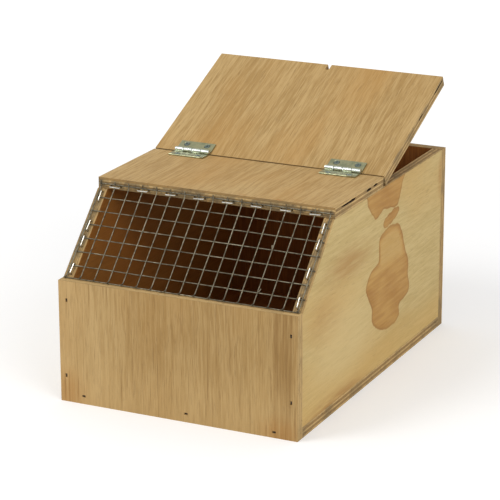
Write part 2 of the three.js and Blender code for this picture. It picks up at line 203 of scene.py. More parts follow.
class Finish:
    """The node tree of a material, or of the sky, in the making."""

    def __init__(self, owner):
        owner.use_nodes = True
        self.owner = owner
        self.tree = owner.node_tree
        self.tree.nodes.clear()

    def node(self, kind, settings=None, sockets=None):
        """Adds a node. Its settings come first, because some of them change its sockets."""
        node = self.tree.nodes.new(kind)
        for name, setting in (settings or {}).items():
            if name == "stops":
                node.color_ramp.interpolation = "CARDINAL"
                ramp = node.color_ramp.elements
                while len(ramp) < len(setting):
                    ramp.new(1.0)
                for element, (position, shade) in zip(ramp, setting):
                    element.position = position
                    element.color = (*shade, 1.0)
            else:
                setattr(node, name, setting)
        for name, value in (sockets or {}).items():
            if isinstance(value, Value):
                self.tree.links.new(value.socket, node.inputs[name])
            else:
                node.inputs[name].default_value = value
        return Outputs(self, node)

    def vector(self, x, y, z):
        return self.node("ShaderNodeCombineXYZ", None, {0: x, 1: y, 2: z})[0]

    def noise(self, vector, scale=1.0, detail=2.0, roughness=0.5):
        sockets = {"Vector": vector, "Scale": scale, "Detail": detail, "Roughness": roughness}
        return self.node("ShaderNodeTexNoise", None, sockets)["Fac"]

    def mix(self, first, second, share, blend="MIX"):
        """A colour between two colours."""
        first, second = [c if isinstance(c, Value) else (*c, 1.0) for c in (first, second)]
        settings = {"data_type": "RGBA", "blend_type": blend, "clamp_factor": True}
        return self.node("ShaderNodeMix", settings, {0: share, 6: first, 7: second})[2]

    def surface(self, sockets, bump=None, bump_distance=0.0002):
        """Ends the graph in a Principled shader, with an optional height for its bump."""
        if bump is not None:
            bumps = {"Height": bump, "Distance": bump_distance, "Strength": 1.0}
            sockets = {**sockets, "Normal": self.node("ShaderNodeBump", None, bumps)[0]}
        shader = self.node("ShaderNodeBsdfPrincipled", None, sockets)[0]
        self.node("ShaderNodeOutputMaterial", None, {"Surface": shader})
        return self.owner

    def seen_directly(self):
        """1 for what the camera sees, also in a mirror or through glass, and 0 for what gives light."""
        path = self.node("ShaderNodeLightPath")
        rays = [path[f"Is {kind} Ray"] for kind in ("Camera", "Glossy", "Transmission")]
        return rays[0].at_least(rays[1]).at_least(rays[2])


def new_finish(name):
    return Finish(bpy.data.materials.new(name))


def colour(hexadecimal):
    """A colour as the eye names it, such as "b89963", turned into light values."""
    parts = [int(hexadecimal[i:i + 2], 16) / 255 for i in (0, 2, 4)]
    return tuple(p / 12.92 if p <= 0.04045 else ((p + 0.055) / 1.055) ** 2.4 for p in parts)


print("a colour in light values:", [round(part, 3) for part in colour("b89963")])

# %% [markdown]
# ## Floor and light
#
# The box stands on a plain white table top that runs on into the background. The floor is a real
# diffuse surface, so it catches the soft shadow. For the camera alone a little of its own glow
# is added, which lifts the unshaded part to white without putting more light on the box. The
# glow is stronger far away, where less of the lamps' light arrives.

# %% The floor
floor_half = 8.0
floor_reflectance = 0.80
glow_near = 0.265
glow_far = 0.50

corners = [(-floor_half, -floor_half, 0), (floor_half, -floor_half, 0),
           (floor_half, floor_half, 0), (-floor_half, floor_half, 0)]
floor_mesh = bpy.data.meshes.new("floor")
floor_mesh.from_pydata(corners, [], [(0, 1, 2, 3)])
floor = bpy.data.objects.new("floor", floor_mesh)
scene.collection.objects.link(floor)
floor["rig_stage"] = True

paper = new_finish("floor_paper")
place = paper.node("ShaderNodeTexCoord")["Object"]
away = paper.node("ShaderNodeVectorMath", {"operation": "LENGTH"}, {0: place})["Value"]
glow_strength = glow_near + (glow_far - glow_near) * away.between(0.25, 1.6)
matt = paper.node("ShaderNodeBsdfDiffuse", None, {"Color": (*[floor_reflectance] * 3, 1)})[0]
glow = paper.node("ShaderNodeEmission", None, {"Strength": glow_strength * paper.seen_directly()})[0]
both = paper.node("ShaderNodeAddShader", None, {0: matt, 1: glow})[0]
paper.node("ShaderNodeOutputMaterial", None, {"Surface": both})
floor_mesh.materials.append(paper.owner)

# %% [markdown]
# The light is what a light tent gives: a sky that is nearly even, and two large soft lamps. The
# one at the right lights the long side of the box. The one at the left is smaller, throws the
# shadow that lies to the right, and draws a bright line along the barrels of the hinges. Seen
# directly the sky is plain white; as a light it is a little weaker, so the lamps shape the box.

# %% Sky and lamps
sky_strength = 0.86
world = bpy.data.worlds.new("sky")
scene.world = world
sky = Finish(world)
sky_light = sky.seen_directly() * (1 - sky_strength) + sky_strength
even = sky.node("ShaderNodeBackground", None, {"Strength": sky_light})[0]
sky.node("ShaderNodeOutputWorld", None, {"Surface": even})


def add_lamp(name, place, size, power):
    """A round soft lamp that points at the box."""
    lamp = bpy.data.objects.new(name, bpy.data.lights.new(name, "AREA"))
    lamp.data.shape = "DISK"
    lamp.data.size = size
    lamp.data.energy = power
    lamp.location = place
    lamp.rotation_mode = "QUATERNION"
    lamp.rotation_quaternion = (Vector((0, 0, 0.1)) - Vector(place)).to_track_quat("-Z", "Y")
    scene.collection.objects.link(lamp)


add_lamp("right_lamp", (1.9, -1.3, 1.5), 1.6, 17.0)
add_lamp("left_lamp", (-1.05, -1.25, 2.0), 1.0, 17.0)
scene.view_settings.view_transform = "Standard"
print("sky", sky_strength, "with", len(bpy.data.lights), "lamps")

# %% [markdown]
# ## Measures taken from the model
#
# The slope of the mesh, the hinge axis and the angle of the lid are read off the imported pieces,
# so every dressed piece lands where its solid is.

# %% The hinge axis and the slope
hinge = frame["record"]["behaviour"]["joints"][0]
hinge_axis = Vector(hinge["pos_m"])
lid_angle = -math.radians(hinge["range_deg"][0])
lid_turn = Matrix.Rotation(lid_angle, 3, "X")

front_low, front_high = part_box("front_panel")
board_low, board_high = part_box("top_board")
side_low, side_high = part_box("right_side_panel")
ply = front_high.y - front_low.y
slope_foot = Vector((0, front_high.y, front_high.z))
up_slope = Vector((0, 1, 1)).normalized()
off_slope = Vector((0, -1, 1)).normalized()
print("lid stands open by", round(math.degrees(lid_angle), 1), "degrees; plywood", round(ply / mm, 2), "mm")

# %% [markdown]
# ## Pine plywood
#
# Every panel is cut from the same sheet: five veneers, each turned a quarter from the last. The
# outer veneer is peeled from a log, so it shows long streaks along the grain and a slow drift of
# tone across it. A sawn edge shows the stack: veneers that run along the edge are pale and
# smooth, and the crossing ones show dark, thirsty end grain.
#
# One function makes the finish for any panel. It only has to know which way the grain runs,
# which way is across it, and which way is through the sheet, so the same code serves a panel
# that lies, stands or is tilted like the lid. An image texture would stretch over the edges;
# worked out in space, the grain carries on round them as it does in wood.

# %% The plywood finish
veneers = 5


# Where a panel's grain, width and thickness point, where its stack of veneers starts, and which
# of its two faces looks into the box: the one at the start (0) or at the end (1). The field before
# weather is how far painted shade darkens that inner face, and weather how grey its sawn edges are.
Panel = namedtuple("Panel", "node grain across through start inner seed tones age weather",
                   defaults=(1.0, 1.0))


def streaks(finish, u, v, seed):
    """Long soft streaks, fine fibres and short dark pores of a peeled pine veneer, each 0 to 1."""
    drift = finish.noise(finish.vector(u * 5.0, v * 13.0, seed), detail=2.0)
    warped = v + (drift - 0.5) * 0.024
    broad = finish.noise(finish.vector(u * 4.0, warped * 48.0, seed + 3.1), detail=3.0, roughness=0.55)
    soft = finish.noise(finish.vector(u * 22.0, warped * 400.0, seed + 7.7), detail=3.0, roughness=0.6)
    fibre = finish.noise(finish.vector(u * 50.0, v * 1100.0, seed + 1.9), detail=2.0, roughness=0.6)
    pores = finish.noise(finish.vector(u * 85.0, v * 2100.0, seed + 5.3), detail=1.0).between(0.60, 0.74)
    return drift, broad, soft, fibre, pores


def veneer_colour(finish, tones, parts):
    """Pale early wood, tan late wood, and a warmer tone where the veneer took up resin."""
    drift, broad, soft, fibre, pores = parts
    pale, tan, warm, dark = tones
    late = (broad * 0.55 + soft * 1.0 + fibre * 0.9).between(0.97, 1.46)
    shade = finish.mix(pale, tan, late)
    shade = finish.mix(shade, warm, drift.between(0.44, 0.74) * 0.7)
    return finish.mix(shade, dark, pores * 0.36)


def stack(finish, w, across_facing, grain_facing, grainy):
    """Tone of a sawn edge, 0 for a pale veneer and 1 for end grain, and its dark glue lines."""
    level = w / (ply / veneers) + (grainy - 0.5) * 0.22
    layer = finish.node("ShaderNodeMath", {"operation": "FLOOR"}, {0: level})[0]
    odd = finish.node("ShaderNodeMath", {"operation": "MODULO"}, {0: layer, 1: 2.0})[0].size()
    within = finish.node("ShaderNodeMath", {"operation": "FRACT"}, {0: level})[0]
    glue = 1 - (0.5 - (within - 0.5).size()).between(0.0, 0.12)
    return odd * across_facing + (1 - odd) * grain_facing, glue


def plywood(panel, marks=None):
    """The finish of one panel. marks may add stains, wear and painted light to the face."""
    finish = new_finish(panel.node + "_ply")
    position = finish.node("ShaderNodeTexCoord")["Object"]
    normal = finish.node("ShaderNodeTexCoord")["Normal"]
    u = position.along(panel.grain)
    v = position.along(panel.across)
    w = position.along(panel.through) - panel.start
    parts = streaks(finish, u, v, panel.seed)
    face = veneer_colour(finish, panel.tones, parts)
    inside = w.between(ply * 0.80, ply * 0.95) if panel.inner else 1 - w.between(ply * 0.05, ply * 0.20)
    if marks:
        face = finish.mix(marks(finish, position, face), face, inside)
    # Painted shade: the face that looks into the box is darkened, as the inside of a closed box is.
    face = finish.mix(face, painted_inside_shade, inside * panel.age, blend="MULTIPLY")
    height = 1 - parts[4] * 0.6 - parts[3] * 0.25 - parts[2] * 0.15
    roughness = 0.60 + parts[2] * 0.18

    across_facing = normal.along(panel.across).size().between(0.5, 0.9)
    grain_facing = normal.along(panel.grain).size().between(0.5, 0.9)
    edge = 1 - normal.along(panel.through).size().between(0.60, 0.80)
    coarse = finish.noise(position, scale=260.0, detail=3.0, roughness=0.65)
    along_edge = finish.noise(finish.vector(u * 55.0, v * 55.0, w * 420.0), detail=3.0, roughness=0.6)
    end_grain, glue = stack(finish, w, across_facing, grain_facing, coarse)
    veneer = finish.mix(colour("cdab72"), colour("967443"), end_grain * 0.8 * panel.weather)
    veneer = finish.mix(veneer, colour("7d6340"), along_edge.between(0.50, 0.72) * 0.55)
    under_wires = normal.along((0, -1, 0)).between(0.30, 0.85)
    greyed = finish.noise(position, scale=38.0, detail=3.0).between(0.42, 0.62) * 0.55
    veneer = finish.mix(veneer, colour("7f6c4b"), greyed * panel.weather)
    below_skin = 1 - w.between(ply * 0.74, ply * 0.80)
    rusty = under_wires * (coarse + 0.25).between(0.60, 0.85) * below_skin
    veneer = finish.mix(veneer, colour("75664c"), rusty * 0.7)
    veneer = finish.mix(veneer, colour("503a20"), (coarse.between(0.56, 0.74) * 0.5).at_least(glue * 0.75))
    shade = finish.mix(face, veneer, edge)
    height = height * (1 - edge) + (1 - end_grain * 0.5 - glue * 0.8 - along_edge * 0.6) * edge
    roughness = roughness * (1 - edge) + edge * 0.82
    return finish.surface({"Base Color": shade, "Roughness": roughness, "Specular IOR Level": 0.35},
                          bump=height, bump_distance=0.00016)


# Pale, tan, warm and dark tones of each kind of sheet, and the painted shade that darkens the inside.
honey = [colour(c) for c in ("c2a26c", "a88650", "b68a4b", "7a582e")]
straw = [colour(c) for c in ("cfb67c", "c2a86d", "cba664", "96773f")]
painted_inside_shade = (0.65, 0.365, 0.165)
up, right, rear = (0, 0, 1), (1, 0, 0), (0, 1, 0)
lid_rear, lid_up = lid_turn @ Vector(rear), lid_turn @ Vector(up)
lid_under = hinge_axis.dot(lid_up) - (hinge_axis.z - board_high.z) - ply
back_low, left_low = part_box("back_panel")[0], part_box("left_side_panel")[0]

panels = {panel.node: panel for panel in (
    Panel("front_panel", up, right, rear, front_low.y, 1, 2.0, honey, weather=0.35),
    Panel("back_panel", up, right, rear, back_low.y, 0, 11.0, honey),
    Panel("left_side_panel", rear, up, right, left_low.x, 1, 23.0, straw),
    Panel("right_side_panel", rear, up, right, side_low.x, 0, 31.0, straw),
    Panel("floor_panel", rear, right, up, 0.0, 1, 43.0, honey),
    Panel("top_board", rear, right, up, board_low.z, 0, 57.0, honey),
    # The lid's underside gets less of the painted shade.
    Panel("lid_panel", lid_rear, right, lid_up, lid_under, 0, 64.0, honey, age=0.45),
)}
print(len(panels), "panels")

# %% [markdown]
# ## The panels as pieces
#
# A sawn and sanded board has no knife-sharp corners. Each panel starts as a copy of its solid,
# holes and all; the triangles of its flat faces are merged, knots of missing core are cut out of
# its edges, and every edge is eased by a third of a millimetre. The eased edge is what catches
# the light, and without it wood looks like paper. A cutter carries a dark finish of its own,
# which it leaves on the walls of the hole it cuts: painted shade, which stands for the shade
# inside the hole.

# %% Helpers that turn meshes into pieces
def piece_from(name, mesh, body, material, replaced=()):
    """A shown piece that rides on a body, and stands for the nodes it replaces."""
    piece = bpy.data.objects.new(name, mesh)
    scene.collection.objects.link(piece)
    mesh.materials.clear()
    mesh.materials.append(material)
    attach(piece, body)
    for node in replaced:
        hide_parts(node)
    return piece


def apply_modifiers(piece):
    """Makes the mesh that the modifiers give the piece's own mesh."""
    evaluated = piece.evaluated_get(bpy.context.evaluated_depsgraph_get())
    result = bpy.data.meshes.new_from_object(evaluated)
    piece.modifiers.clear()
    piece.data = result


def cut_with(piece, cutter_mesh):
    """Takes a cutter's shape out of a piece."""
    cutter = bpy.data.objects.new("cutter", cutter_mesh)
    scene.collection.objects.link(cutter)
    cut = piece.modifiers.new("cut", "BOOLEAN")
    cut.operation = "DIFFERENCE"
    cut.solver = "EXACT"
    cut.material_mode = "TRANSFER"
    cut.object = cutter
    apply_modifiers(piece)
    bpy.data.objects.remove(cutter)


def ease_edges(piece, width, segments=2):
    """Rounds every edge sharper than 30 degrees, and shades it smoothly while flats stay flat."""
    bevel = piece.modifiers.new("eased", "BEVEL")
    bevel.width = width
    bevel.segments = segments
    bevel.limit_method = "ANGLE"
    bevel.angle_limit = math.radians(30)
    bevel.use_clamp_overlap = True
    apply_modifiers(piece)
    smoothly(piece.data, 38)
    flats = piece.modifiers.new("flats", "WEIGHTED_NORMAL")
    flats.keep_sharp = True
    apply_modifiers(piece)


def smoothly(mesh, angle=45):
    for polygon in mesh.polygons:
        polygon.use_smooth = True
    mesh.set_sharp_from_angle(angle=math.radians(angle))
    return mesh


def mesh_from_bmesh(name, shape):
    bmesh.ops.recalc_face_normals(shape, faces=shape.faces)
    mesh = bpy.data.meshes.new(name)
    shape.to_mesh(mesh)
    shape.free()
    return mesh


# %% Knots of missing core in the sawn edges
# Painted shade: the walls of the knots are painted nearly black, for the shade inside each hole.
void_shade_finish = new_finish("core_with_void_shade")
core_place = void_shade_finish.node("ShaderNodeTexCoord")["Object"]
core_grain = void_shade_finish.noise(core_place, scale=700.0, detail=3.0)
core_shade = void_shade_finish.mix(colour("2a1a0c"), colour("4d3620"), core_grain.between(0.40, 0.65))
core_sockets = {"Base Color": core_shade, "Roughness": 0.95 - core_grain * 0.1}
void_shade = void_shade_finish.surface(core_sockets, bump=core_grain)


def edge_knot(middle, along, length, height, depth, upright, inwards, seed):
    """A flat ragged lump on an edge that runs along, with its depth pointing inwards."""
    axes = (Vector(along) * length / 2, Vector(upright) * height / 2, Vector(inwards) * depth)
    chance = random.Random(seed)
    shape = bmesh.new()
    for vertex in bmesh.ops.create_icosphere(shape, subdivisions=2, radius=1.0)["verts"]:
        stretch = 1 + chance.uniform(-0.22, 0.22)
        offset = sum((axis * vertex.co[i] * stretch for i, axis in enumerate(axes)), Vector())
        vertex.co = Vector(middle) + offset
    mesh = mesh_from_bmesh("knot", shape)
    mesh.materials.append(void_shade)
    return mesh


right_edge = board_high.x
upper_core = 2.0 * mm + ply / 2
knot_depth = 0.005
board_knots = [
    edge_knot((right_edge, y, board_low.z + upper_core + lift), rear, length, height, knot_depth,
              up, right, seed)
    for y, lift, length, height, seed in (
        (-0.0610, 0.0, 0.026, 0.0017, 1), (-0.0510, 0.0, 0.013, 0.0023, 8),
        (-0.0175, 0.0, 0.010, 0.0024, 2), (-0.0035, 0.0003, 0.008, 0.0018, 3))
]


def on_lid(x, from_axis, level):
    """A point of the lid: along X, back from the hinge axis, and up from its underside."""
    underside = -(hinge_axis.z - board_high.z) - ply
    return hinge_axis + lid_turn @ Vector((x, from_axis, underside + level))


lid_knots = [
    edge_knot(on_lid(right_edge, y, upper_core), lid_rear, length, height, depth, lid_up, right, seed)
    for y, length, height, depth, seed in (
        (0.126, 0.020, 0.0018, 0.005, 4), (0.084, 0.010, 0.0015, 0.004, 5),
        (0.026, 0.012, 0.0016, 0.004, 9))
]
side_knots = [
    edge_knot((side_high.x - 0.0062, 0.103, side_high.z), rear, 0.022, 0.0020, 0.005, right, up, 6),
    edge_knot((side_high.x - 0.0062, 0.060, side_high.z), rear, 0.030, 0.0012, 0.004, right, up, 7),
]
knots_of = {"top_board": board_knots, "lid_panel": lid_knots, "right_side_panel": side_knots}
print(sum(len(knots) for knots in knots_of.values()), "knots")

# %% [markdown]
# ## The stain on the right side
#
# Water once stood on the right panel and dried with a brown tide mark. Each patch is written as
# a few points of its outline, in millimetres along and up the panel. Seen from a middle point,
# an outline is a radius for every direction, which is exactly what a colour ramp can hold. The
# difference between that radius and the distance to the middle says how far inside a point is,
# and so also where the darker rim runs. A painted image would say the same with far more data.

# %% Outlines held in a ramp
def outline(finish, y, z, middle, points):
    """Distance beyond the outline in metres: below zero is inside."""
    around = sorted((math.atan2(pz - middle[1], py - middle[0]) / (2 * math.pi) + 0.5,
                     math.hypot(pz - middle[1], py - middle[0])) for py, pz in points)
    reach = max(radius for _, radius in around)
    first, last = around[0], around[-1]
    share = (1 - last[0]) / (1 - last[0] + first[0])
    seam = last[1] + (first[1] - last[1]) * share
    stops = [(0.0, seam), *around, (1.0, seam)]
    dy, dz = y - middle[0] * mm, z - middle[1] * mm
    turn = finish.node("ShaderNodeMath", {"operation": "ARCTAN2"}, {0: dz, 1: dy})[0] / (2 * math.pi) + 0.5
    grey = [(position, (radius / reach,) * 3) for position, radius in stops]
    radius = finish.node("ShaderNodeValToRGB", {"stops": grey}, {"Fac": turn})["Color"]
    return (dy * dy + dz * dz).power(0.5) - radius * (reach * mm)


def oval(finish, y, z, middle, half, softness):
    """1 in the middle of an oval, falling softly to 0 at its rim. Sizes in millimetres."""
    p = (y / mm - middle[0]) / half[0]
    q = (z / mm - middle[1]) / half[1]
    return 1 - (p * p + q * q).power(0.5).between(1 - softness, 1.0)


lower_stain = (28, 80), [
    (36, 124), (46, 122), (53, 116), (60, 103), (66, 91), (71, 80), (70, 70), (74, 59), (70, 54),
    (57, 51), (51, 47), (52, 40), (40, 36), (27, 36), (0, 45), (-8, 53), (-8, 63), (-16, 75),
    (-21, 82), (-18, 89), (-9, 96), (3, 99), (6, 104), (6, 112), (7, 119), (16, 123)]
upper_stain = (17, 157), [
    (-30, 168), (-22, 161), (-16, 151), (-8, 143), (-2, 138), (6, 140), (16, 142), (31, 140),
    (43, 138), (48, 143), (53, 151), (57, 158), (66, 168)]
small_stain = (30, 131), [
    (14, 128), (15, 131), (22, 134), (32, 136), (42, 137), (48, 135), (45, 131), (36, 128),
    (27, 126), (19, 125)]


def stain_and_painted_light(finish, position, face):
    y, z = position.along(rear), position.along(up)
    wander = finish.noise(finish.vector(0.0, y * 90.0, z * 90.0), detail=3.0) - 0.5
    fine = finish.noise(finish.vector(3.0, y * 24.0, z * 300.0), detail=3.0) - 0.5
    cloudy = finish.noise(finish.vector(9.0, y * 26.0, z * 40.0), detail=2.0) - 0.5

    lower = outline(finish, y, z, *lower_stain)
    others = outline(finish, y, z, *upper_stain).at_most(outline(finish, y, z, *small_stain))
    tide = lower.at_most(others) + wander * 0.0035
    wet = 1 - tide.between(-0.0005, 0.0005)
    rim = 1 - (tide + 0.0011).size().between(0.0, 0.0018)
    washed = (1 - (lower + 0.006).between(-0.004, 0.004)) * z.between(0.088, 0.100)
    depth = (fine * 1.1 + cloudy * 1.1 + 0.55 - washed * 0.75).between(0.0, 1.0)
    brown = finish.mix(colour("c49750"), colour("a5702a"), depth)
    shade = finish.mix(face, brown, wet * (0.9 - washed * 0.25))
    shade = finish.mix(shade, colour("8f6632"), rim * wet * 0.42)
    field = oval(finish, y, z, (-60, 50), (95, 62), 0.8) * (1 - wet)
    shade = finish.mix(shade, colour("ddc58d"), field * 0.5)

    smear = oval(finish, y, z, (-58, 117), (72, 21), 0.95) * 0.75
    smear = smear + oval(finish, y, z, (-104, 84), (52, 32), 0.9) * 0.4
    foot = oval(finish, y, z, (-80, 8), (92, 15), 0.8) * 0.9
    foot = foot + oval(finish, y, z, (142, 138), (8, 28), 0.8) * 0.7
    # Painted light: the side is painted lighter towards its foot.
    shade = finish.mix(shade, colour("d6a957"), (1 - z.between(0.005, 0.050)) * 0.36)
    rubbed = (smear + foot) * (fine * 2.8 + cloudy + 0.75).between(0.0, 1.0)
    return finish.mix(shade, colour("ab7a3f"), rubbed * 0.75)


# %% [markdown]
# The front was sanded less evenly: a dark heart streak runs up near its right edge, the tone is
# lighter at the left, and both lower corners are rubbed brown. Its foot is painted lighter, which
# is painted light. The fixed board has picked up rust specks and grime along its front edge, where
# the wires end.

# %% Marks on the front and on the fixed board
def wear_and_painted_light(finish, position, face):
    x, z = position.along(right), position.along(up)
    sway = (finish.noise(finish.vector(x * 40.0, 5.0, z * 9.0), detail=3.0) - 0.5) * 0.010
    fine = finish.noise(finish.vector(x * 520.0, 6.0, z * 16.0), detail=3.0) - 0.5
    pale = 1 - (x + sway).between(-0.095, -0.030)
    shade = finish.mix(colour("997643"), face, pale * 0.32 + 0.68)
    shade = finish.mix(shade, colour("cfae79"), pale * 0.35)
    light = (x + sway).between(0.052, 0.062) * (1 - x.between(0.080, 0.084))
    shade = finish.mix(shade, colour("c6a870"), light * 0.1)
    heart = (x + sway * 0.3).between(0.083, 0.0855) * (1 - (x + sway * 0.3).between(0.0995, 0.1020))
    shade = finish.mix(shade, colour("8f6c3a"), heart * (fine * 2.2 + 0.7).between(0.2, 1.0) * 0.80)
    # Painted light: the front is painted lighter towards its foot.
    shade = finish.mix(shade, colour("d2b077"), (1 - z.between(0.010, 0.065)) * 0.32)
    corners = oval(finish, x, z, (-98, 8), (22, 30), 0.9) + oval(finish, x, z, (90, 4), (26, 20), 0.9)
    lines = (fine + 0.5).between(0.57, 0.70) * 0.62
    shade = finish.mix(shade, colour("a9722f"), corners * (fine * 2.0 + 0.7).between(0.0, 1.0) * 0.55)
    return finish.mix(shade, colour("8a6838"), lines)


def grimy(finish, position, face):
    x, y = position.along(right), position.along(rear)
    specks = finish.noise(finish.vector(x * 75.0, y * 190.0, 3.0), detail=2.0).between(0.58, 0.70)
    near_front = 1 - (y - board_low.y).between(0.002, 0.016)
    return finish.mix(face, colour("a5672c"), specks * near_front * x.between(0.0, 0.05) * 0.7)


# %% Dress the panels
marks_of = {"right_side_panel": stain_and_painted_light, "front_panel": wear_and_painted_light, "top_board": grimy}
slots_of = {"left_side_panel": "side_ply", "right_side_panel": "side_ply", "floor_panel": "floor_ply"}
ease = 0.35 * mm
lid_clearance = 0.02 * mm  # so that the closed lid and the back don't share a plane


def dress_panel(panel):
    source = frame["nodes"][panel.node]
    shape = bmesh.new()
    shape.from_mesh(source.data)
    bmesh.ops.remove_doubles(shape, verts=shape.verts, dist=1e-6)
    bmesh.ops.dissolve_limit(shape, angle_limit=math.radians(0.5), verts=shape.verts, edges=shape.edges)
    mesh = mesh_from_bmesh(panel.node + "_board", shape)
    body = source["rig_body"]
    material = plywood(panel, marks_of.get(panel.node))
    slot = slots_of.get(panel.node, "face_ply")
    piece = piece_from(panel.node + "_board", mesh, body, material, [panel.node])
    for knot in knots_of.get(panel.node, []):
        cut_with(piece, knot)
    ease_edges(piece, ease)
    low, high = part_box(panel.node)
    for vertex in piece.data.vertices:
        vertex.co = [min(max(part, least), most) for part, least, most in zip(vertex.co, low, high)]
    if panel.node == "lid_panel":
        piece.data.transform(Matrix.Translation(lid_up * lid_clearance))
    print(panel.node, "has", len(piece.data.vertices), "points")


for panel in panels.values():
    dress_panel(panel)

# %% [markdown]
# ## Galvanised wire mesh
#
# Welded mesh is drawn wire laid in two layers, welded at every crossing and dipped in zinc. Here
# every wire is a round tube that follows the same route as its solid: level on the front panel,
# up the slope, and upright in front of the fixed board. The bends are turned over a few short
# steps, the free ends are cut by hand at slightly different lengths, and a bead of zinc fills
# each crossing.

# %% A tube along a line of points
def add_tube(shape, points, radius, sides=8):
    """Adds a closed round tube. Each ring stands square to the line through its neighbours."""
    angles = [2 * math.pi * k / sides for k in range(sides)]
    circle = [Vector((radius * math.cos(a), radius * math.sin(a), 0)) for a in angles]
    rings = []
    for i, point in enumerate(points):
        ahead = points[min(i + 1, len(points) - 1)] - points[max(i - 1, 0)]
        turn = ahead.to_track_quat("Z", "X").to_matrix()
        rings.append([shape.verts.new(point + turn @ spoke) for spoke in circle])
    for low, high in zip(rings, rings[1:]):
        for k in range(sides):
            shape.faces.new((low[k], low[(k + 1) % sides], high[(k + 1) % sides], high[k]))
    shape.faces.new(list(reversed(rings[0])))
    shape.faces.new(rings[-1])


# %% The route of the mesh
pitch = 12.7 * mm
wire_radius = 0.52 * mm
seat = 0.3 * mm
layer_rise = 0.85 * mm
cross_height = seat + wire_radius
slope_height = cross_height + layer_rise
top_wire_height = 2.4 * mm
wire_end_height = 5.2 * mm
wire_foot_length = 4.2 * mm
mesh_low, mesh_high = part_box("wire_mesh")
board_front = board_low.y


def bends(height):
    """The lower and the upper bend of a line that runs at one height off the wood."""
    on_slope = slope_foot + off_slope * height
    level = front_high.z + height
    upright = board_front - height
    lower = Vector((0, on_slope.y + level - on_slope.z, level))
    upper = Vector((0, upright, on_slope.z + upright - on_slope.y))
    return lower, upper


def along_route(height, distance):
    """The point at a distance up the slope from its foot."""
    lower, upper = bends(height)
    point = slope_foot + up_slope * distance + off_slope * height
    before = (point - lower).dot(up_slope)
    past = (point - upper).dot(up_slope)
    if before < 0:
        return lower + Vector((0, before, 0))
    if past > 0:
        return upper + Vector((0, 0, past))
    return point


def rounded_route(points, radius, steps=4):
    """A line whose inner corners are turned in a few steps."""
    line = [points[0]]
    for before, corner, after in zip(points, points[1:], points[2:]):
        start = corner + (before - corner).normalized() * radius
        end = corner + (after - corner).normalized() * radius
        for k in range(steps + 1):
            t = k / steps
            line.append(start * (1 - t) ** 2 + corner * 2 * t * (1 - t) + end * t ** 2)
    line.append(points[-1])
    return line


# %% Bend and weld the mesh
chance = random.Random(7)
bend_radius = 1.6 * mm
wires_each_side = math.floor(((mesh_high.x - mesh_low.x) / 2 - wire_radius) / pitch)
slope_xs = [k * pitch for k in range(-wires_each_side, wires_each_side + 1)]
slope_length = (bends(cross_height)[1] - slope_foot).dot(up_slope)
highest_cross = slope_length + top_wire_height
cross_count = 1 + math.floor((highest_cross + 5 * mm) / pitch)
cross_distances = [highest_cross - k * pitch for k in range(cross_count)]

wires = bmesh.new()
lower, upper = bends(slope_height)
for x in slope_xs:
    foot = lower - Vector((0, wire_foot_length - abs(chance.gauss(0, 0.4)) * mm, 0))
    end = upper + Vector((0, 0, wire_end_height - abs(chance.gauss(0, 0.7)) * mm))
    sway = [chance.gauss(0, 0.12) * mm for _ in range(3)]
    middle = (lower + upper) / 2 - off_slope * abs(chance.gauss(0, 0.25)) * mm
    corners = [point + Vector((x + shift, 0, 0))
               for point, shift in zip((foot, lower, middle, upper, end), (0, 0, *sway))]
    add_tube(wires, rounded_route(corners, bend_radius), wire_radius)
for distance_up in cross_distances:
    centre = along_route(cross_height, distance_up)
    ends = (mesh_low.x + abs(chance.gauss(0, 0.5)) * mm, mesh_high.x - abs(chance.gauss(0, 0.5)) * mm)
    steps = 2 * len(slope_xs)
    line = []
    for k in range(steps + 1):
        x = ends[0] + (ends[1] - ends[0]) * k / steps
        line.append(centre + Vector((x, 0, 0)) + up_slope * chance.gauss(0, 0.05) * mm)
    add_tube(wires, line, wire_radius)
    between = (along_route(slope_height, distance_up) + centre) / 2
    for x in slope_xs:
        bead = bmesh.ops.create_icosphere(wires, subdivisions=1, radius=0.62 * mm)["verts"]
        bmesh.ops.translate(wires, verts=bead, vec=between + Vector((x, 0, 0)))


# %% [markdown]
# Two welds were left with a spur of wire, which springs away from the mesh.

# %% Spurs
def spur(x, distance_up, reach_x, reach_up, lift):
    start = along_route(slope_height, distance_up) + Vector((x, 0, 0))
    bend = start + up_slope * reach_up * 0.5 + Vector((reach_x * 0.7, 0, 0)) + off_slope * lift * 0.4
    end = start + up_slope * reach_up + Vector((reach_x, 0, 0)) + off_slope * lift
    add_tube(wires, [start, bend, end], 0.48 * mm)


spur_x = 5 * pitch
spur(spur_x, cross_distances[3], -0.9 * mm, 3.4 * mm, 0.7 * mm)
spur(spur_x, cross_distances[6], 2.2 * mm, 3.2 * mm, 0.7 * mm)
wire_count = len(slope_xs) + len(cross_distances)
print(wire_count, "wires; the mesh spans", [round(v / mm, 1) for v in (mesh_low.x, mesh_high.x)], "mm")

# %% [markdown]
# Zinc from a dipping bath is dull and a little patchy. Each metal mixes a bright tone with a
# duller, rougher one, and may say where it is rubbed bright and painted lighter: on the hinge
# knuckles that is partly burnishing and partly a painted highlight.

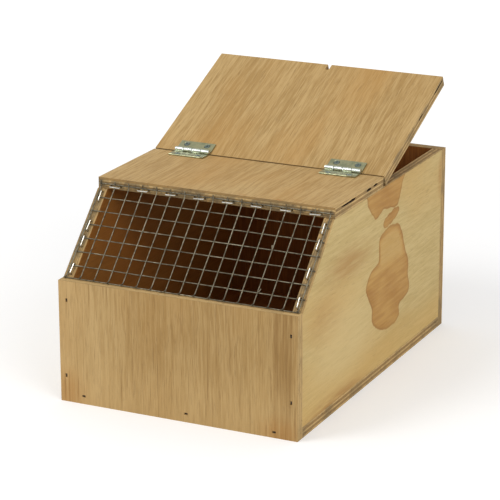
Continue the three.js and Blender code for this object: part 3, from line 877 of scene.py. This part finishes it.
# %% Metals
def metal(name, base, dull, roughness, patch=120.0, tarnish=0.5, grain=900.0, burnish_and_highlight=None):
    """A metal with patches that are duller and rougher. Its last argument may say where it is burnished and
    painted lighter, partly a painted highlight.
    """
    finish = new_finish(name)
    position = finish.node("ShaderNodeTexCoord")["Object"]
    patches = finish.noise(position, scale=patch, detail=3.0, roughness=0.6).between(0.38, 0.66)
    specks = finish.noise(position, scale=grain, detail=2.0)
    shade = finish.mix(base, dull, patches * tarnish)
    shade = finish.mix(shade, dull, specks.between(0.55, 0.8) * 0.35)
    rough = roughness + patches * 0.16 + (specks - 0.5) * 0.10
    if burnish_and_highlight:
        # Where it is burnished the metal is painted lighter and smoother; on the knuckles this is partly a
        # painted highlight.
        burnish_and_highlight_mask = burnish_and_highlight(finish, position)
        shade = finish.mix(shade, colour("d4dcd6"), burnish_and_highlight_mask * 0.75)
        rough = rough - burnish_and_highlight_mask * 0.10
    return finish.surface({"Base Color": shade, "Roughness": rough, "Metallic": 1.0},
                          bump=specks, bump_distance=0.00003)


galvanised = metal("galvanised_wire", colour("8a8370"), colour("554d3f"), 0.48, patch=260.0, tarnish=0.7)
wire_piece = piece_from("mesh_front", smoothly(mesh_from_bmesh("mesh_front", wires)), "box", galvanised,
                        ["wire_mesh"])
print("mesh has", len(wire_piece.data.vertices), "points")

# %% [markdown]
# ## Staples
#
# Each staple is one length of flattened bright wire with its legs driven into the wood. The
# outline is drawn once with rounded shoulders and given its thickness. The crowns weren't
# driven dead straight, so each gets a small turn of its own about its middle.

# %% Shape and drive the staples
staple_wire = 0.9 * mm
staple_leg = 8.0 * mm
staple_half = 5.0 * mm
bright_steel = metal("staple_steel", colour("dddbd2"), colour("87816f"), 0.26, patch=400.0, tarnish=0.5)


def arc(middle_x, middle_z, radius, start, end, steps=4):
    """Points on a part circle, its angles in degrees."""
    angles = [math.radians(start + (end - start) * k / steps) for k in range(steps + 1)]
    return [(middle_x + radius * math.cos(a), middle_z + radius * math.sin(a)) for a in angles]


def staple_mesh(name, crown_top):
    outer, inner = 1.1 * mm, 0.35 * mm
    inside = staple_half - staple_wire
    under = crown_top - staple_wire
    tip = 0.8 * mm
    outline = [(-staple_half, -staple_leg + tip), (-inside, -staple_leg)]
    outline += arc(-inside + inner, under - inner, inner, 180, 90)
    outline += arc(inside - inner, under - inner, inner, 90, 0)
    outline += [(inside, -staple_leg), (staple_half, -staple_leg + tip)]
    outline += arc(staple_half - outer, crown_top - outer, outer, 0, 90)
    outline += arc(-staple_half + outer, crown_top - outer, outer, 90, 180)
    shape = bmesh.new()
    near, far = ([shape.verts.new((x, y, z)) for x, z in outline]
                 for y in (-staple_wire / 2, staple_wire / 2))
    shape.faces.new(near)
    shape.faces.new(far[::-1])
    for i in range(len(outline)):
        shape.faces.new((near[i], near[i - 1], far[i - 1], far[i]))
    return mesh_from_bmesh(name, shape)


to_front = Vector((0, -1, 0))


def drive_staple(node, outward, along, seed):
    low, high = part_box(node)
    middle = (low + high) / 2
    reach = high.y - low.y
    if outward != to_front:  # a box round a tilted staple also takes in part of its width
        reach = reach * math.sqrt(2) - 2 * staple_half
    crown_top = reach - staple_leg
    place = middle - outward * (crown_top - staple_leg) / 2
    piece = piece_from(node + "_wire", staple_mesh(node + "_wire", crown_top), "box", bright_steel,
                       [node])
    ease_edges(piece, 0.16 * mm)
    turn = Matrix.Rotation(random.Random(seed).gauss(0, math.radians(1.6)), 4, "Z")
    basis = Matrix((along, outward.cross(along), outward)).transposed().to_4x4()
    piece.data.transform(Matrix.Translation(place) @ basis @ turn)
    return piece


staples = []
for number in range(1, 9):
    staples.append(drive_staple(f"board_staple_{number}", to_front, Vector(right), 100 + number))
for number in range(1, 5):
    for side in ("left", "right"):
        seed = 200 + 10 * number + len(side)
        staples.append(drive_staple(f"{side}_staple_{number}", off_slope, up_slope, seed))
print(len(staples), "staples")

# %% [markdown]
# ## Butt hinges
#
# A light butt hinge is cut from sheet steel: two leaves with tabs, and the tabs are rolled round
# a pin to make the knuckles. It is modelled in the same order. A sheet is laid out as a grid, the
# tabs are rolled by wrapping the grid round the axis, the sheet gets its thickness, and the
# countersunk holes are cut last. Rolling leaves the little slit under each knuckle that a plain
# cylinder would lack.

# %% Sizes of the hinge, from the model
leaf_low, leaf_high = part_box("left_hinge_board_leaf")
hinge_length = leaf_high.x - leaf_low.x
leaf_width = hinge_axis.y - leaf_low.y
barrel_radius = leaf_high.z - hinge_axis.z
leaf_thickness = 0.9 * mm
knuckles = 4
knuckle_gap = 0.5 * mm
wrap_angle = math.radians(318)
cut_back = barrel_radius + 0.3 * mm
screw_low, screw_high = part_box("left_board_screw_1")
screw_from_axis = hinge_axis.y - (screw_low.y + screw_high.y) / 2
screw_head = (screw_high.y - screw_low.y) / 2
screw_length = screw_high.z - screw_low.z
hinge_middle = (leaf_low.x + leaf_high.x) / 2
screw_offset = abs((screw_low.x + screw_high.x) / 2 - hinge_middle)
print("hinge", round(hinge_length / mm, 1), "mm long, screws", round(2 * screw_offset / mm, 1), "mm apart")


# %% Turned shapes and holes
def turned_mesh(name, profile, steps=32):
    """A shape turned about Z from a profile of (radius, height) that starts and ends on Z."""
    shape = bmesh.new()
    rings = []
    for radius, z in profile:
        if radius < 1e-9:
            rings.append([shape.verts.new((0, 0, z))])
        else:
            rings.append([shape.verts.new((radius * math.cos(a), radius * math.sin(a), z))
                          for a in (2 * math.pi * k / steps for k in range(steps))])
    for low, high in zip(rings, rings[1:]):
        for k in range(steps):
            corners = [low[k % len(low)], low[(k + 1) % len(low)],
                       high[(k + 1) % len(high)], high[k % len(high)]]
            unique = list(dict.fromkeys(corners))
            if len(unique) > 2:
                shape.faces.new(unique)
    return mesh_from_bmesh(name, shape)


def box_mesh(name, half_x, half_y, low_z, high_z, taper=1.0):
    """A block that narrows towards its lower end."""
    shape = bmesh.new()
    bmesh.ops.create_cube(shape, size=2.0)
    for vertex in shape.verts:
        share = 1.0 if vertex.co.z > 0 else taper
        z = high_z if vertex.co.z > 0 else low_z
        vertex.co = (vertex.co.x * half_x * share, vertex.co.y * half_y * share, z)
    return mesh_from_bmesh(name, shape)


# %% Roll the leaves
def barrels(finish, position):
    """1 on the knuckles, which rolling has burnished and which are painted lighter as a highlight, and 0 on
    the flat of the leaves.
    """
    dy = position.along(rear) - hinge_axis.y
    dz = position.along(up) - hinge_axis.z
    return 1 - (dy * dy + dz * dz).power(0.5).between(barrel_radius, barrel_radius + 0.4 * mm)


# The knuckles are painted lighter all round: partly burnishing, partly a painted highlight.
zinc = metal("zinc_plate", colour("a5a480"), colour("6f7a64"), 0.30, patch=210.0, tarnish=0.5, grain=1400.0,
             burnish_and_highlight=barrels)


def sheet_point(x, s, side):
    """Where a point of the flat sheet goes. s is 0 below the axis and grows round the pin."""
    radius = barrel_radius - leaf_thickness / 2
    if s <= 0:
        return Vector((x, side * -s, -radius))
    turn = s / radius
    return Vector((x, -side * radius * math.sin(turn), -radius * math.cos(turn)))


def rolled_leaf(name, side):
    """side is -1 for the leaf on the fixed board and +1 for the one on the lid. The sheet has
    lines round each screw hole and near each knuckle's ends, which keep its shading even."""
    length = hinge_length / knuckles
    first = 0 if side < 0 else 1
    starts = [-hinge_length / 2 + k * length for k in range(first, knuckles, 2)]
    spans = [(start + knuckle_gap / 2, start + length - knuckle_gap / 2) for start in starts]
    room = screw_head + 0.6 * mm
    near_ends = [x for low, high in spans for x in (low, low + 0.6 * mm, high - 0.6 * mm, high)]
    near_holes = [sign * screw_offset + shift for sign in (-1, 1) for shift in (-room, room)]
    xs = sorted({-hinge_length / 2, hinge_length / 2, *near_ends, *near_holes})
    wrap = wrap_angle * (barrel_radius - leaf_thickness / 2)
    wrap_steps = 22
    flat = [-leaf_width, -screw_from_axis - room, -screw_from_axis + room, -cut_back, 0.0]
    ss = flat + [wrap * k / wrap_steps for k in range(1, wrap_steps + 1)]
    shape = bmesh.new()
    grid = {(i, j): shape.verts.new(sheet_point(x, s, side))
            for i, x in enumerate(xs) for j, s in enumerate(ss)}
    for i in range(len(xs) - 1):
        in_knuckle = any(low - 1e-7 <= xs[i] and xs[i + 1] <= high + 1e-7 for low, high in spans)
        for j in range(len(ss) - 1):
            if ss[j + 1] <= -cut_back or in_knuckle:
                shape.faces.new((grid[i, j], grid[i + 1, j], grid[i + 1, j + 1], grid[i, j + 1]))
    bmesh.ops.delete(shape, geom=[v for v in shape.verts if not v.link_faces], context="VERTS")
    return mesh_from_bmesh(name, shape)


def finish_leaf(name, node, side, body, middle_x):
    piece = piece_from(name, rolled_leaf(name, side), body, zinc, [node])
    thick = piece.modifiers.new("sheet", "SOLIDIFY")
    thick.thickness = leaf_thickness
    thick.offset = 0.0
    apply_modifiers(piece)
    face = leaf_thickness - barrel_radius
    sink = screw_head + 0.45 * mm
    bore = screw_head * 0.62
    profile = [(0, -3 * mm), (bore, -3 * mm), (bore, bore - sink), (sink, 0), (sink, 1 * mm), (0, 1 * mm)]
    for x in (-screw_offset, screw_offset):
        hole = turned_mesh("hole", profile)
        hole.transform(Matrix.Translation((x, side * screw_from_axis, face)))
        cut_with(piece, hole)
    ease_edges(piece, 0.14 * mm)
    turn = lid_turn.to_4x4() if side > 0 else Matrix.Identity(4)
    piece.data.transform(Matrix.Translation(hinge_axis + Vector((middle_x, 0, 0))) @ turn)


for side_name, sign in (("left", -1), ("right", 1)):
    middle_x = sign * abs(hinge_middle)
    finish_leaf(f"{side_name}_board_leaf", f"{side_name}_hinge_board_leaf", -1, "box", middle_x)
    finish_leaf(f"{side_name}_lid_leaf", f"{side_name}_hinge_lid_leaf", 1, "lid", middle_x)

# %% [markdown]
# The pin is a plain rod whose ends were hammered into low domes. The screws are small
# countersunk ones: the head is turned with a slight dome, the cross is cut with two tapered
# blades, and each was driven to its own angle.

# %% Pins and screws
pin_radius = 0.95 * mm


def pin_mesh(name, half_length):
    dome = 0.35 * mm
    profile = [(0, -half_length)]
    profile += [(pin_radius * math.sin(a), -half_length + dome * (1 - math.cos(a)))
                for a in map(math.radians, (30, 60, 90))]
    profile += [(radius, -z) for radius, z in reversed(profile)]
    return turned_mesh(name, profile, steps=20)


def screw_mesh(name):
    shank = screw_head / 2
    crown = 0.18 * mm
    profile = [(0, -screw_length), (shank * 0.55, -screw_length + 1.4 * mm)]
    turns = 7
    first, last = -screw_length + 1.6 * mm, -(screw_head - shank) - 0.6 * mm
    for k in range(turns):
        z = first + (last - first) * k / turns
        step = (last - first) / turns
        profile += [(shank * 0.72, z), (shank, z + step * 0.35), (shank * 0.72, z + step * 0.7)]
    profile += [(shank * 0.9, -(screw_head - shank)), (screw_head, -0.12 * mm), (screw_head * 0.97, 0)]
    profile += [(screw_head * share, crown * (1 - share ** 2)) for share in (0.8, 0.5, 0.25)]
    profile += [(0, crown)]
    return turned_mesh(name, profile)


screw_zinc = metal("screw_zinc", colour("7d8880"), colour("56645f"), 0.34, patch=420.0, tarnish=0.5)


def finish_screw(node, body, middle, turn, number):
    name = node + "_turned"
    piece = piece_from(name, screw_mesh(name), body, screw_zinc, [node])
    long, narrow, deep = 1.45 * mm, 0.34 * mm, 0.95 * mm
    for half_x, half_y in ((long, narrow), (narrow, long)):
        cut_with(piece, box_mesh("blade", half_x, half_y, -deep, 1 * mm, 0.55))
    ease_edges(piece, 0.05 * mm)
    spin = Matrix.Rotation(math.radians(37 * number), 4, "Z")
    piece.data.transform(Matrix.Translation(middle) @ turn @ spin)
    return piece


flat, tilted = Matrix.Identity(4), lid_turn.to_4x4()
leaf_face = leaf_thickness - barrel_radius
screws = []
for side_name, sign in (("left", -1), ("right", 1)):
    middle_x = sign * abs(hinge_middle)
    for number, offset in ((1, -screw_offset), (2, screw_offset)):
        for where, body, side, turn in (("board", "box", -1, flat), ("lid", "lid", 1, tilted)):
            local = Vector((middle_x + offset, side * screw_from_axis, leaf_face))
            middle = hinge_axis + turn.to_3x3() @ local
            node = f"{side_name}_{where}_screw_{number}"
            screws.append(finish_screw(node, body, middle, turn, len(screws) + 1))
    pin = pin_mesh(f"{side_name}_pin_rod", hinge_length / 2 - 0.1 * mm)
    lying = Matrix.Rotation(math.pi / 2, 4, "Y")
    pin.transform(Matrix.Translation(hinge_axis + Vector((middle_x, 0, 0))) @ lying)
    piece_from(f"{side_name}_pin_rod", smoothly(pin), "box", zinc, [f"{side_name}_hinge_pin"])
print(len(screws), "screws and 2 pins")

# %% [markdown]
# ## Brads
#
# The panels are held by headed brads driven just below the surface. Their solids already have
# the right shape, so they stay, and only get a finish: plain steel that has gone brown in the
# wood.

# %% Brads
brad_steel = metal("brad_steel", colour("5d5044"), colour("3a2a1c"), 0.55, patch=900.0, tarnish=0.8)
brads = [node for name, node in frame["nodes"].items() if "_brad_" in name]
for node in brads:
    node.data.materials.clear()
    node.data.materials.append(brad_steel)
print(len(brads), "brads")

# %% [markdown]
# ## Last measure
#
# The dressed model should be as large as the imported one, so the difference between their sizes
# is printed.

# %% Print how much the model grew
seen_low, seen_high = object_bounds()
grown = (seen_high - seen_low) - (cad_high - cad_low)
print("grown by, in mm:", [round(part / mm, 2) for part in grown])
